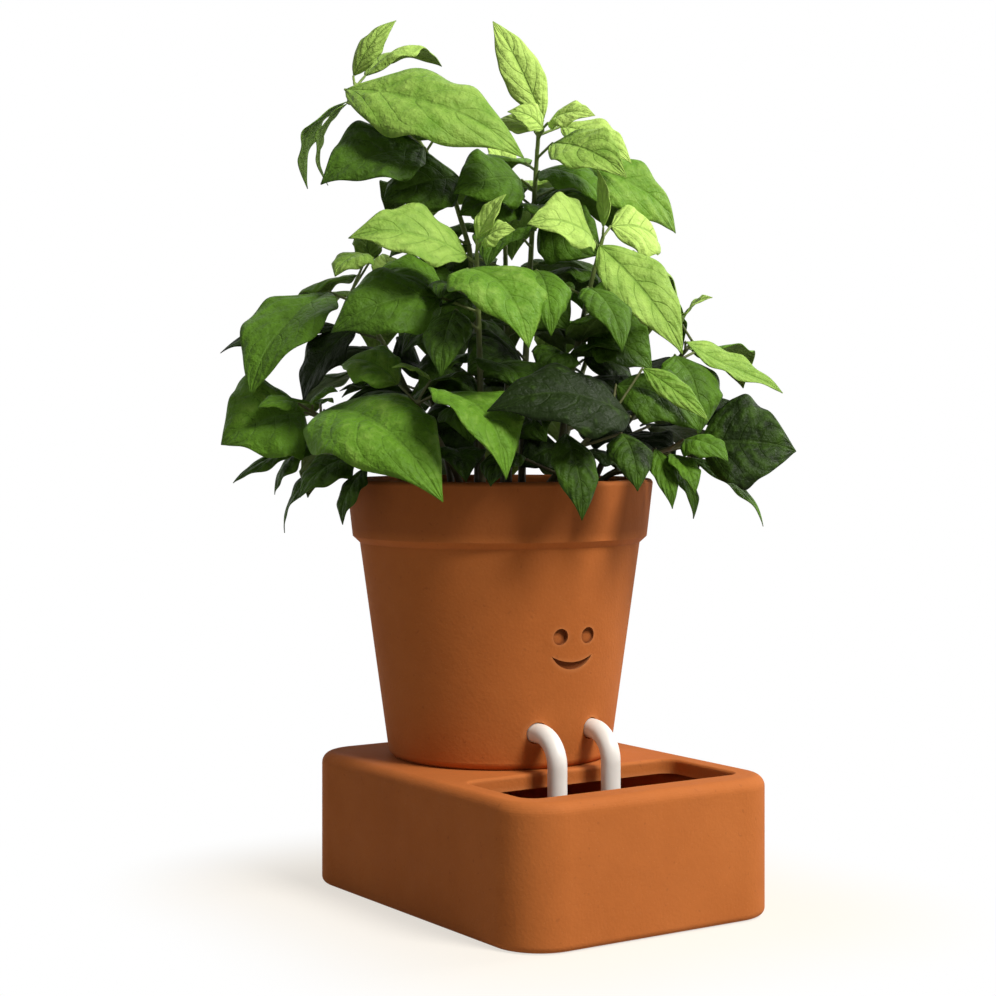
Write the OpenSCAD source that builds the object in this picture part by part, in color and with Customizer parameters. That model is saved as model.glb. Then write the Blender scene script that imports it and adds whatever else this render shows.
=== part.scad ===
// Self-watering planter: a thick-walled reservoir box with a deck and an open pool at the front, and a
// terracotta pot that sits on the deck like a bather. Its two white legs reach into the water. Each leg
// is a preformed sleeve round a rope wick, which carries water up into the soil of a basil plant.
// Origin: centre of the reservoir's underside. +Z is up, and the face and the pool look along -Y.

/* [Reservoir] */
// Width of the box, side to side
box_w = 136; // [126:1:150]
// Depth of the box, front to back
box_d = 180; // [172:1:200]
// Height of the box, up to the deck
box_h = 60; // [52:1:75]
// Radius of the upright corners
box_corner = 22; // [18:1:28]
// Rounding of the top edge
top_edge = 5; // [3:0.5:6]
// Rounding of the bottom edge
foot_edge = 3; // [1:0.5:4]
// Thickness of the upright walls
box_wall = 7; // [5:0.5:9]
// Thickness of the floor
box_floor = 6; // [4:0.5:9]
// Thickness of the deck
deck = 6.5; // [5:0.5:9]
// Land left between the box's sides and the pool
pool_land = 12.5; // [10:0.5:16]
// Land left between the box's front and the pool
front_land = 15.5; // [12:0.5:18]
// Land left between the pot's foot and the pool
pool_gap = 4; // [3:0.5:8]
// Radius of the pool's corners
pool_corner = 7; // [5:0.5:12]
// Rounding of the pool's top edge
pool_edge = 1.5; // [1:0.5:4]
// Radius of the return hole in the deck, under the pot
return_r = 6; // [4:0.5:9]

/* [Pot] */
// Diameter of the rim
rim_d = 140; // [134:1:146]
// Height of the pot
pot_h = 126; // [118:1:140]
// Diameter of the foot
foot_d = 101; // [96:1:106]
// Diameter just under the collar
neck_d = 128; // [124:1:131]
// Height of the collar, above its bevel
collar_h = 26; // [20:1:32]
// Height of the bevel under the collar
bevel_h = 3; // [2:0.5:5]
// Diameter of the collar at its bevel
collar_d = 134.5; // [132:0.5:136]
// Thickness of the pot's wall
pot_wall = 6; // [5:0.5:7]
// Thickness of the pot's floor
pot_floor = 8; // [6:0.5:10]
// Rounding of the foot
foot_round = 4; // [3:0.5:6]
// Rounding of the rim
rim_round = 2; // [1:0.5:2.5]
// Land behind the foot, up to the back of the box
pot_setback = 10.5; // [6:0.5:16]
// Radius of the drain hole
drain_r = 7; // [5:0.5:9]

/* [Face] */
// Height of the eyes above the deck
eye_up = 58.5; // [52:0.5:66]
// Distance between the eyes
eye_apart = 14.5; // [12:0.5:18]
// Diameter of an eye
eye_d = 7.2; // [5:0.2:9]
// Depth of the eyes and the smile
face_deep = 2.2; // [1:0.2:3]
// Width of the smile
smile_w = 21.5; // [16:0.5:24]
// Drop of the smile below its corners
smile_drop = 6.2; // [5:0.2:8]
// Thickness of the smile at its middle
smile_thick = 3.3; // [2:0.1:4.5]
// Height of the smile's corners above the deck
smile_up = 50; // [46:0.5:54]

/* [Legs] */
// Distance between the legs
leg_apart = 28.6; // [26:0.2:36]
// Height of the leg holes above the deck
leg_up = 16.5; // [15:0.5:22]
// Outer diameter of a leg
leg_d = 8.6; // [7:0.2:9.6]
// Wall of the sleeve
sleeve_wall = 1.4; // [1:0.1:1.8]
// Radius of the knee, along the middle of the leg
knee_r = 13; // [10:0.5:13.5]
// Distance from the pool's rear edge to the middle of the shin
shin_out = 11; // [9:0.5:15]
// Free height between the reservoir's floor and the sleeve
leg_foot = 7; // [4:0.5:12]
// Free height between the reservoir's floor and the wick
wick_foot = 2; // [1:0.5:3.5]
// Clearance round a leg in its hole
leg_clear = 0.5; // [0.3:0.1:0.8]
// Clearance between the wick and its sleeve
wick_clear = 0.3; // [0.2:0.05:0.4]
// Diameter of the stop ring inside the pot
ring_d = 13; // [11:0.5:14]
// Thickness of the stop ring
ring_t = 2; // [1.5:0.5:3]
// Length of bare wick in the soil
wick_tail = 26; // [16:1:34]

/* [Soil] */
// Depth of the soil's top below the rim
soil_down = 12; // [9:0.5:18]
// Clearance round the root ball
soil_clear = 0.3; // [0.2:0.05:0.5]
// Radius of the drain screen
screen_r = 14; // [11:0.5:18]
// Thickness of the drain screen
screen_t = 1; // [0.8:0.1:1.6]
// Radius of the screen's holes
screen_hole_r = 1.2; // [0.8:0.1:1.6]

/* [Basil] */
// Height of the bush above the soil
bush_h = 224; // [190:1:250]
// How far the bush reaches past the rim
bush_reach = 66; // [60:1:74]
// Diameter of a stem at the soil
stem_d = 4; // [3:0.2:5]
// Diameter of a leaf stalk
stalk_d = 1.6; // [1.2:0.1:2]
// Thickness of a leaf at its midrib
leaf_t = 0.8; // [0.6:0.1:1.2]
// Rise of a leaf's edges above its midrib, as a share of its half width
leaf_fold = 0.2; // [0.1:0.05:0.4]

/* [Hidden] */
$fn = 96;
EPS = 0.01;
STEMS = 14;

TERRACOTTA = [0.73, 0.42, 0.21];
SILICONE = [0.95, 0.94, 0.91];
COTTON = [0.90, 0.87, 0.80];
MESH_GREY = [0.25, 0.26, 0.27];
SOIL = [0.20, 0.14, 0.10];
STEM_GREEN = [0.35, 0.45, 0.18];
LEAF_GREEN = [0.42, 0.62, 0.22];

// The pot stands against its setback, and the pool takes the rest of the deck in front of it.
foot_r = foot_d / 2;
pot_y = box_d / 2 - pot_setback - foot_r;
pool_front = -box_d / 2 + front_land;
pool_back = pot_y - foot_r - pool_gap;
pool_w = box_w - 2 * pool_land;
pool_d = pool_back - pool_front;
pool_y = (pool_front + pool_back) / 2;

// The pot's walls, measured from the deck
rim_r = rim_d / 2;
neck_r = neck_d / 2;
collar_r = collar_d / 2;
collar_z = pot_h - collar_h;
neck_z = collar_z - bevel_h;
wall_slope = (neck_r - foot_r) / neck_z;
function outer_r(z) = foot_r + wall_slope * z;
function inner_r(z) = outer_r(z) - pot_wall;

// The legs
leg_r = leg_d / 2;
leg_x = leg_apart / 2;
leg_z = box_h + leg_up;
shin_y = pool_back - shin_out;
shin_z = box_floor + leg_foot;
bore_r = leg_r - sleeve_wall;
wick_r = bore_r - wick_clear;
hole_r = leg_r + leg_clear;
ring_r = ring_d / 2;
wick_z = box_floor + wick_foot;
// The stop ring lies inside the wall at its lowest and outermost point.
ring_y = pot_y - sqrt(pow(inner_r(leg_up - ring_r) - soil_clear, 2) - pow(leg_x + ring_r, 2));
sleeve_end_y = ring_y + ring_t + 1;
wick_end_y = sleeve_end_y + wick_tail;

// The soil, measured from the deck
soil_top = pot_h - soil_down;
soil_bottom = pot_floor + screen_t + soil_clear;
soil_z = box_h + soil_top;
notch_clear = 0.8;

// The bush. Its tables give places in millimetres for a bush that is TABLE_REACH wide from its middle
// and TABLE_H tall: [across, back, up] from the middle of the soil's top, turned by BUSH_TURN.
TABLE_REACH = 136;
TABLE_H = 224;
BUSH_TURN = -34;
spread = (rim_r + bush_reach) / TABLE_REACH;
rise = bush_h / TABLE_H;
function placed(p) = [p[0] * spread, p[1] * spread, p[2] * rise];

// Each stem: [foot, top, how late it leans out]
STEM_PIECES = 8;
STEM_LINES = [
    [[10, 2, 0], [18, 0, 174], 1.5],
    [[-10, 4, 0], [-66, -6, 190], 5.5],
    [[26, -8, 0], [46, -26, 120], 1.6],
    [[-8, -22, 0], [-10, -46, 112], 1.6],
    [[-34, -6, 0], [-84, -18, 42], 1.5],
    [[40, 2, 0], [88, -6, 74], 1.4],
    [[-14, -34, 0], [-36, -52, 46], 1.3],
    [[16, -36, 0], [48, -58, 40], 1.3],
    [[38, -22, 0], [80, -40, 28], 2],
    [[-28, 8, 0], [-68, 2, 98], 1.6],
    [[4, 22, 0], [2, 44, 150], 1.6],
    [[-22, 26, 0], [-52, 62, 96], 1.5],
    [[26, 24, 0], [54, 60, 100], 1.5],
    [[2, 40, 0], [0, 84, 44], 1.4]];

// Each leaf of a stem: [start, tip, width, arch, roll]. The arch lifts the midrib above the straight line,
// and the roll turns the upper side towards the front.
LEAF_LINES = [
    [ // tall right
        [[20, 0, 176], [-3, 8, 224], 19, 5, 65],
        [[16, 6, 172], [0, 18, 180], 14, 2, 40],
        [[20, -6, 171], [4, -10, 179], 16, 3, 60],
        [[22, -6, 174], [42, -22, 176], 18, 3, 45],
        [[28, 6, 174], [60, -8, 157], 22, 4, 40],
        [[24, -12, 164], [55, -42, 147], 28, 4, 40],
        [[34, 8, 156], [84, 20, 128], 37, 9, 55],
        [[10, -6, 148], [-20, -24, 141], 36, 4, 50],
        [[18, -6, 152], [48, -18, 136], 34, 6, 20],
        [[12, 12, 158], [-12, 40, 150], 30, 6, 0],
        [[26, 10, 146], [58, 44, 128], 36, 8, 0],
        [[10, -4, 140], [-18, -16, 132], 32, 4, 50],
        [[14, 6, 146], [-6, 18, 136], 30, 4, 25],
        [[18, -2, 128], [46, -10, 114], 34, 4, 60],
        [[10, -8, 122], [-6, -36, 108], 30, 6, 0],
        [[20, 4, 106], [52, 8, 92], 38, 7, 0],
        [[16, -6, 92], [30, -32, 80], 32, 5, 40],
        [[8, -6, 70], [-14, -24, 60], 34, 4, 50],
        [[14, 4, 54], [34, 26, 44], 34, 6, 0],
        [[12, -4, 40], [20, -28, 30], 24, 4, 40],
    ],
    [ // tall left
        [[-70, -14, 188], [11, -36, 158], 47, 8, 45],
        [[-67, -2, 196], [-48, -2, 222], 12, 4, 70],
        [[-62, 4, 197], [-28, 28, 208], 30, 8, 0],
        [[-70, 0, 184], [-81, 2, 147], 20, 6, 10],
        [[-70, 6, 186], [-92, 18, 148], 24, 7, 20],
        [[-34, -12, 162], [-79, -34, 145], 42, 5, 45],
        [[-30, -8, 166], [-52, -12, 179], 15, 2, 40],
        [[-18, -8, 149], [-52, -22, 138], 32, 4, 60],
        [[-28, 12, 146], [-54, 42, 136], 34, 7, 0],
        [[-20, 0, 122], [-50, -12, 114], 32, 6, 20],
        [[-16, 10, 104], [-44, 34, 94], 38, 7, 0],
        [[-13, 0, 100], [-34, -14, 88], 32, 4, 60],
        [[-14, -6, 80], [-44, -22, 70], 36, 6, 20],
        [[-14, -6, 60], [-36, -26, 48], 32, 4, 40],
        [[-12, 0, 38], [-36, -8, 28], 32, 4, 50],
    ],
    [ // right middle
        [[42, -32, 118], [13, -50, 125], 34, 5, 50],
        [[44, -33, 116], [80, -54, 69], 30, 4, 40],
        [[46, -30, 124], [44, -32, 150], 8, 1, 0],
        [[50, -16, 126], [74, 0, 116], 34, 6, 50],
        [[56, -18, 114], [82, -10, 88], 20, 5, 0],
        [[38, -54, 96], [52, -84, 69], 22, 5, 0],
        [[16, -46, 104], [22, -80, 76], 23, 6, 0],
        [[42, -14, 98], [62, -10, 86], 28, 4, 50],
        [[54, -4, 92], [86, 24, 72], 34, 7, 0],
        [[40, -18, 76], [68, -28, 62], 34, 5, 40],
        [[30, -24, 68], [18, -40, 60], 24, 4, 20],
        [[38, -8, 66], [62, 8, 58], 32, 5, 50],
        [[35, -20, 56], [54, -42, 46], 30, 5, 0],
        [[34, -12, 40], [60, -14, 34], 30, 4, 50],
        [[28, -18, 26], [10, -26, 18], 26, 4, 45],
        [[60, -24, 114], [76, -34, 86], 10, 2, 60],
    ],
    [ // front middle
        [[-14, -42, 110], [-64, -60, 119], 38, 6, 45],
        [[-10, -47, 117], [2, -50, 137], 12, 1, 60],
        [[-8, -48, 116], [6, -58, 121], 16, 2, 50],
        [[-14, -54, 104], [13, -88, 71], 45, 9, 10],
        [[-19, -60, 86], [-25, -82, 58], 21, 4, 0],
        [[-25, -44, 92], [-72, -62, 78], 38, 7, 50],
        [[-26, -22, 100], [-56, -24, 104], 28, 5, 30],
        [[-6, -32, 62], [12, -60, 50], 34, 6, 0],
        [[-14, -34, 44], [-12, -62, 30], 28, 5, 0],
    ],
    [ // low left
        [[-88, -14, 42], [-124, -28, 29], 52, 6, 50],
        [[-90, -24, 46], [-106, -38, 45], 13, 2, 30],
        [[-84, -24, 46], [-72, -38, 52], 12, 2, 30],
        [[-88, -18, 30], [-121, -18, 12], 16, 0, 20],
        [[-82, -2, 46], [-106, 30, 32], 34, 6, 0],
        [[-80, -12, 30], [-104, -6, 6], 24, 4, 20],
        [[-74, -24, 22], [-99, -16, -11], 20, 4, 30],
        [[-64, -34, 22], [-88, -44, 6], 28, 4, 20],
        [[-66, 8, 26], [-92, 34, 4], 32, 6, 0],
        [[-78, -30, 43], [-24, -94, 9], 54, 13, 25],
    ],
    [ // low right
        [[84, -12, 74], [129, -14, 53], 23, -2, 30],
        [[79, -16, 68], [89, -33, 33], 32, 6, 0],
        [[90, 4, 70], [116, 34, 56], 34, 7, 0],
        [[82, -14, 82], [94, -26, 94], 16, 2, 30],
        [[84, 8, 46], [124, 12, 30], 36, 6, 20],
        [[70, 14, 36], [96, 44, 18], 34, 6, 0],
        [[74, 10, 58], [88, 34, 54], 22, 4, 0],
        [[66, -12, 60], [88, -28, 46], 28, 5, 10],
        [[54, -2, 30], [78, -26, 16], 30, 5, 10],
    ],
    [ // low front left
        [[-27, -56, 50], [4, -97, 17], 40, 11, 0],
        [[-44, -44, 54], [-70, -34, 64], 30, 6, 30],
        [[-30, -50, 56], [-46, -58, 62], 14, 2, 10],
        [[-58, -46, 18], [-69, -54, -6], 17, 3, 0],
        [[-20, -50, 26], [-14, -76, 14], 22, 4, 0],
        [[-32, -42, 36], [-60, -56, 18], 32, 6, 10],
    ],
    [ // low front right
        [[56, -64, 40], [-4, -90, 45], 44, 9, 40],
        [[51, -42, 54], [88, -48, 35], 36, 7, 40],
        [[28, -70, 33], [35, -90, -2], 20, 4, 0],
        [[52, -66, 33], [58, -86, 10], 20, 4, 0],
        [[36, -46, 24], [56, -40, 14], 26, 4, 10],
        [[6, -54, 24], [-4, -78, 12], 20, 4, 0],
        [[62, -52, 61], [90, -60, 39], 12, 2, 60],
    ],
    [ // low right front
        [[80, -48, 30], [98, -62, 22], 22, 3, 20],
        [[74, -50, 24], [84, -66, 8], 14, 3, 0],
        [[88, -38, 28], [130, -42, 26], 46, 4, 60],
        [[84, -34, 22], [119, -28, -7], 14, 4, 30],
        [[68, -46, 26], [74, -68, 2], 12, 2, 0],
        [[76, -34, 20], [86, -42, -4], 13, 3, 0],
    ],
    [ // middle left
        [[-78, -6, 97], [-110, -46, 52], 42, 7, 10],
        [[-74, 12, 82], [-131, 16, 73], 26, 3, 20],
        [[-66, 14, 106], [-102, 34, 90], 28, 3, 10],
        [[-60, -8, 114], [-74, -22, 104], 22, 3, 10],
        [[-58, 20, 72], [-94, 44, 56], 32, 6, 0],
        [[-66, 4, 82], [-92, 4, 48], 28, 4, 40],
        [[-50, 6, 66], [-36, 24, 60], 30, 4, 50],
        [[-60, 8, 112], [-64, 20, 128], 14, 2, 0],
        [[-42, 2, 50], [-74, -4, 40], 34, 6, 10],
    ],
    [ // tall back
        [[2, 48, 156], [-4, 58, 182], 16, 2, 0],
        [[8, 50, 150], [38, 74, 144], 36, 7, 0],
        [[-6, 50, 148], [-38, 76, 138], 36, 7, 0],
        [[4, 58, 140], [6, 100, 122], 40, 9, 0],
        [[-10, 44, 116], [-34, 88, 104], 40, 8, 0],
        [[18, 42, 114], [42, 82, 96], 40, 8, 0],
        [[2, 50, 96], [4, 96, 78], 40, 8, 0],
        [[-6, 30, 128], [-34, 22, 118], 30, 6, 0],
        [[10, 30, 82], [44, 40, 68], 38, 7, 0],
        [[-6, 30, 66], [-30, 26, 56], 30, 5, 0],
        [[4, 28, 78], [-12, 8, 70], 32, 4, 50],
        [[4, 40, 54], [10, 78, 44], 36, 7, 0],
    ],
    [ // back left
        [[-54, 64, 104], [-58, 78, 122], 16, 2, 0],
        [[-60, 62, 98], [-100, 62, 84], 36, 7, 0],
        [[-52, 70, 94], [-64, 112, 72], 40, 9, 0],
        [[-42, 68, 84], [-24, 108, 62], 36, 8, 0],
        [[-58, 62, 60], [-100, 74, 40], 38, 8, 0],
        [[-44, 60, 52], [-54, 104, 32], 38, 8, 0],
        [[-60, 40, 40], [-104, 52, 18], 36, 7, 0],
    ],
    [ // back right
        [[56, 62, 106], [64, 74, 122], 16, 2, 0],
        [[60, 52, 102], [84, 32, 90], 34, 6, 0],
        [[56, 68, 96], [70, 108, 76], 40, 9, 0],
        [[44, 66, 86], [24, 104, 66], 36, 8, 0],
        [[60, 54, 64], [102, 72, 46], 40, 8, 0],
        [[48, 60, 52], [58, 104, 32], 38, 8, 0],
        [[58, 38, 42], [102, 58, 22], 36, 7, 0],
    ],
    [ // low back
        [[-2, 86, 50], [-6, 98, 64], 14, 2, 0],
        [[6, 86, 42], [34, 116, 26], 36, 7, 0],
        [[-6, 86, 42], [-32, 116, 24], 36, 7, 0],
        [[0, 78, 30], [0, 116, 4], 38, 7, 0],
        [[22, 62, 22], [44, 92, 0], 34, 6, 0],
        [[-20, 62, 22], [-42, 92, 0], 34, 6, 0],
    ],
];

// Outlines ---------------------------------------------------------------------------------------------

// Points of a quarter round about a centre, between two angles
function quarter(centre, r, from, to, steps = 8) =
    [for (i = [0 : steps])
        let (turned = from + (to - from) * i / steps)
        centre + r * [cos(turned), sin(turned)]];

module rounded_rect(w, d, r) {
    square([w - 2 * r, d], center = true);
    square([w, d - 2 * r], center = true);
    for (x = [-1, 1], y = [-1, 1])
        translate([x * (w / 2 - r), y * (d / 2 - r)]) circle(r);
}

// Side view of a block whose top and bottom edges are rounded
module block_side(half_w, h, top, bottom) {
    polygon(concat(
        [[-half_w + bottom, 0], [half_w - bottom, 0]],
        quarter([half_w - bottom, bottom], bottom, -90, 0),
        quarter([half_w - top, h - top], top, 0, 90),
        quarter([-half_w + top, h - top], top, 90, 180),
        quarter([-half_w + bottom, bottom], bottom, 180, 270)));
}

// A block with rounded upright corners and rounded top and bottom edges
module soft_block(w, d, h, r, top, bottom) {
    rotate([90, 0, 0])
        linear_extrude(d - 2 * r, center = true) block_side(w / 2, h, top, bottom);
    rotate([90, 0, 90])
        linear_extrude(w - 2 * r, center = true) block_side(d / 2, h, top, bottom);
    for (x = [-1, 1], y = [-1, 1])
        translate([x * (w / 2 - r), y * (d / 2 - r), 0])
            rotate_extrude() polygon(concat(
                [[0, 0], [r - bottom, 0]],
                quarter([r - bottom, bottom], bottom, -90, 0),
                quarter([r - top, h - top], top, 0, 90),
                [[0, h]]));
}

// Side view of an opening that flares out over a rounded edge
module flare_side(half_w, edge) {
    polygon(concat(
        quarter([half_w + edge, -edge], edge, 180, 90),
        [[half_w + edge, EPS], [-half_w - edge, EPS]],
        quarter([-half_w - edge, -edge], edge, 90, 0)));
}

// What the pool removes round its top edge, with its top at Z = 0
module pool_flare(w, d, r, edge) {
    rotate([90, 0, 0])
        linear_extrude(d - 2 * r, center = true) flare_side(w / 2, edge);
    rotate([90, 0, 90])
        linear_extrude(w - 2 * r, center = true) flare_side(d / 2, edge);
    for (x = [-1, 1], y = [-1, 1])
        translate([x * (w / 2 - r), y * (d / 2 - r), 0])
            rotate_extrude() polygon(concat(
                [[0, -edge]],
                quarter([r + edge, -edge], edge, 180, 90),
                [[r + edge, EPS], [0, EPS]]));
}

// The reservoir ----------------------------------------------------------------------------------------

module reservoir() {
    color(TERRACOTTA)
    difference() {
        soft_block(box_w, box_d, box_h, box_corner, top_edge, foot_edge);
        translate([0, 0, box_floor])
            linear_extrude(box_h - box_floor - deck)
                rounded_rect(box_w - 2 * box_wall, box_d - 2 * box_wall, box_corner - box_wall);
        translate([0, pool_y, box_h / 2])
            linear_extrude(box_h) rounded_rect(pool_w, pool_d, pool_corner);
        translate([0, pool_y, box_h]) pool_flare(pool_w, pool_d, pool_corner, pool_edge);
        translate([0, pot_y, box_h / 2]) cylinder(h = box_h, r = return_r);
    }
}

// The pot ----------------------------------------------------------------------------------------------

module pot_shell() {
    foot_top = outer_r(foot_round);
    rotate_extrude() polygon(concat(
        [[drain_r, 0], [foot_top - foot_round, 0]],
        quarter([foot_top - foot_round, foot_round], foot_round, -90, 0),
        [[neck_r, neck_z], [collar_r, collar_z]],
        quarter([rim_r - rim_round, pot_h - rim_round], rim_round, 0, 90),
        quarter([inner_r(pot_h) + rim_round, pot_h - rim_round], rim_round, 90, 180),
        [[inner_r(pot_floor), pot_floor], [drain_r, pot_floor]]));
}

// Runs along Y through the pot's front wall only
module through_front() {
    rotate([90, 0, 0]) linear_extrude(rim_r) children();
}

// A flat-bottomed recess in the front wall at one height
module recess(up) {
    translate([0, -outer_r(up) + face_deep, 0]) through_front() children();
}

// The smile lies between two arcs that meet at its corners.
module smile() {
    half = smile_w / 2;
    inner_drop = smile_drop - smile_thick;
    low_r = (half * half + smile_drop * smile_drop) / (2 * smile_drop);
    high_r = (half * half + inner_drop * inner_drop) / (2 * inner_drop);
    difference() {
        translate([0, smile_up - smile_drop + low_r]) circle(low_r);
        translate([0, smile_up - inner_drop + high_r]) circle(high_r);
    }
}

module pot() {
    color(TERRACOTTA)
    translate([0, pot_y, box_h])
    difference() {
        pot_shell();
        for (x = [-leg_x, leg_x])
            translate([x, 0, leg_up]) through_front() circle(hole_r);
        for (x = [-1, 1])
            recess(eye_up) translate([x * eye_apart / 2, eye_up]) circle(d = eye_d);
        recess(smile_up - smile_drop / 2) smile();
    }
}

// The legs ---------------------------------------------------------------------------------------------

// A round bar along a leg: up the shin, round the knee and back to end_y
module leg_bar(r, low_z, end_y) {
    translate([0, shin_y, low_z]) cylinder(h = leg_z - knee_r - low_z, r = r);
    translate([0, shin_y + knee_r, leg_z - knee_r])
        rotate([90, 0, -90]) rotate_extrude(angle = 90) translate([knee_r, 0]) circle(r);
    translate([0, shin_y + knee_r, leg_z])
        rotate([-90, 0, 0]) cylinder(h = end_y - shin_y - knee_r, r = r);
}

module leg_sleeve(x) {
    color(SILICONE)
    translate([x, 0, 0])
    difference() {
        union() {
            leg_bar(leg_r, shin_z, sleeve_end_y);
            translate([0, ring_y, leg_z]) rotate([-90, 0, 0]) cylinder(h = ring_t, r = ring_r);
        }
        leg_bar(bore_r, shin_z - 1, sleeve_end_y + 1);
    }
}

module wick(x) {
    color(COTTON) translate([x, 0, 0]) leg_bar(wick_r, wick_z, wick_end_y);
}

module leg_sleeve_left() { leg_sleeve(-leg_x); }
module leg_sleeve_right() { leg_sleeve(leg_x); }
module wick_left() { wick(-leg_x); }
module wick_right() { wick(leg_x); }

// The soil and its screen ------------------------------------------------------------------------------

module drain_screen() {
    rings = floor((drain_r - screen_hole_r) / (3 * screen_hole_r));
    color(MESH_GREY)
    translate([0, pot_y, box_h + pot_floor])
    difference() {
        cylinder(h = screen_t, r = screen_r);
        translate([0, 0, -1]) cylinder(h = screen_t + 2, r = screen_hole_r);
        for (ring = [1 : rings], i = [0 : 6 * ring - 1])
            rotate(i * 60 / ring) translate([3 * screen_hole_r * ring, 0, -1])
                cylinder(h = screen_t + 2, r = screen_hole_r);
    }
}

// The root ball stands over the wicks, and its notches are open below so that it lifts straight off.
module wick_notch(x) {
    ring_half = ring_r + notch_clear;
    wick_half = wick_r + notch_clear;
    translate([x - ring_half, -rim_r, 0])
        cube([2 * ring_half, rim_r + sleeve_end_y - pot_y + notch_clear, leg_up + ring_half]);
    translate([x - wick_half, -rim_r, 0])
        cube([2 * wick_half, rim_r + wick_end_y - pot_y + notch_clear, leg_up + wick_half]);
}

module potting_soil() {
    color(SOIL)
    translate([0, pot_y, box_h])
    difference() {
        rotate_extrude() polygon([[0, soil_bottom],
            [inner_r(soil_bottom) - soil_clear, soil_bottom],
            [inner_r(soil_top) - soil_clear, soil_top],
            [0, soil_top]]);
        wick_notch(-leg_x);
        wick_notch(leg_x);
    }
}

// The basil --------------------------------------------------------------------------------------------

module on_soil() {
    translate([0, pot_y, soil_z]) rotate(BUSH_TURN) children();
}

// A stem leans out late or early, as its last value says. It is straight from knot to knot.
function stem_knot(line, k) =
    let (foot = line[0], top = line[1], lean = pow(k / STEM_PIECES, line[2]))
    placed([foot[0] + (top[0] - foot[0]) * lean, foot[1] + (top[1] - foot[1]) * lean,
        top[2] * k / STEM_PIECES]);
function stem_at(line, up) =
    let (knots = STEM_PIECES * max(0, min(1, up / line[1][2])), k = min(floor(knots), STEM_PIECES - 1))
    stem_knot(line, k) + (stem_knot(line, k + 1) - stem_knot(line, k)) * (knots - k);

module rod(from, to, r1, r2) {
    hull() {
        translate(from) sphere(r1, $fn = 6);
        translate(to) sphere(r2, $fn = 6);
    }
}

// A stem with the stalks of its leaves. A stalk leaves the stem a little below its leaf.
module basil_stem(i) {
    line = STEM_LINES[i];
    function thick(k) = stem_d / 2 * (1 - 0.45 * k / STEM_PIECES);
    color(STEM_GREEN) on_soil() {
        hull() {
            translate(stem_knot(line, 0)) cylinder(h = 0.4, r = stem_d / 2, $fn = 8);
            translate(stem_knot(line, 1)) sphere(thick(1), $fn = 6);
        }
        for (k = [1 : STEM_PIECES - 1])
            rod(stem_knot(line, k), stem_knot(line, k + 1), thick(k), thick(k + 1));
        for (leaf_line = LEAF_LINES[i]) {
            start = leaf_line[0];
            beside = stem_at(line, start[2]) - placed(start);
            drop = 2 + 0.25 * norm([beside[0], beside[1]]);
            rod(stem_at(line, max(3, start[2] - drop)), placed(start), stalk_d / 2, stalk_d / 2);
        }
    }
}

// Share of the full width at stations along a leaf
LEAF_STATIONS = [0.07, 0.2, 0.38, 0.57, 0.76, 0.92];
function leaf_width(s) = sin(180 * pow(s, 0.78));
function unit(v) = v / norm(v);

// A closed blade: its base point, a ring of left edge, top, right edge and underside at each station,
// and its tip
module leaf(line) {
    tip = placed(line[1]);
    along = unit(tip - placed(line[0]));
    base = placed(line[0]) + along * (stalk_d / 2 + 0.3);
    level = unit(cross(along, [0, 0, 1]));
    above = cross(level, along);
    roll = along[0] < 0 ? -line[4] : line[4];
    side = level * cos(roll) - above * sin(roll);
    up = above * cos(roll) + level * sin(roll);
    rings = len(LEAF_STATIONS);
    points = [
        base,
        for (s = LEAF_STATIONS)
            let (mid = base + (tip - base) * s + up * line[3] * 4 * s * (1 - s),
                half = line[2] * spread / 2 * leaf_width(s),
                edge = up * half * leaf_fold,
                body = up * leaf_t / 2 * (1 - 0.6 * s))
            for (p = [mid - side * half + edge, mid + body, mid + side * half + edge, mid - body]) p,
        tip];
    last = len(points) - 1;
    faces = [
        for (k = [0 : 3]) [0, 1 + k, 1 + (k + 1) % 4],
        for (i = [0 : rings - 2], k = [0 : 3])
            let (a = 1 + 4 * i + k, b = 1 + 4 * i + (k + 1) % 4)
            each [[b, a, a + 4], [b, a + 4, b + 4]],
        for (k = [0 : 3]) let (r = 1 + 4 * (rings - 1)) [last, r + (k + 1) % 4, r + k]];
    polyhedron(points, faces);
}

module basil_leaves(i) {
    color(LEAF_GREEN) on_soil() for (line = LEAF_LINES[i]) leaf(line);
}

reservoir();
pot();
leg_sleeve_left();
leg_sleeve_right();
wick_left();
wick_right();
drain_screen();
potting_soil();
for (i = [1 : STEMS]) {
    basil_stem(i - 1);
    basil_leaves(i - 1);
}
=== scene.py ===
# Self-watering planter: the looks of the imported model. Everything is in metres, in the model's frame.
import math
import random

import bmesh
import bpy
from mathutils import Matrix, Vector, noise


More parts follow.
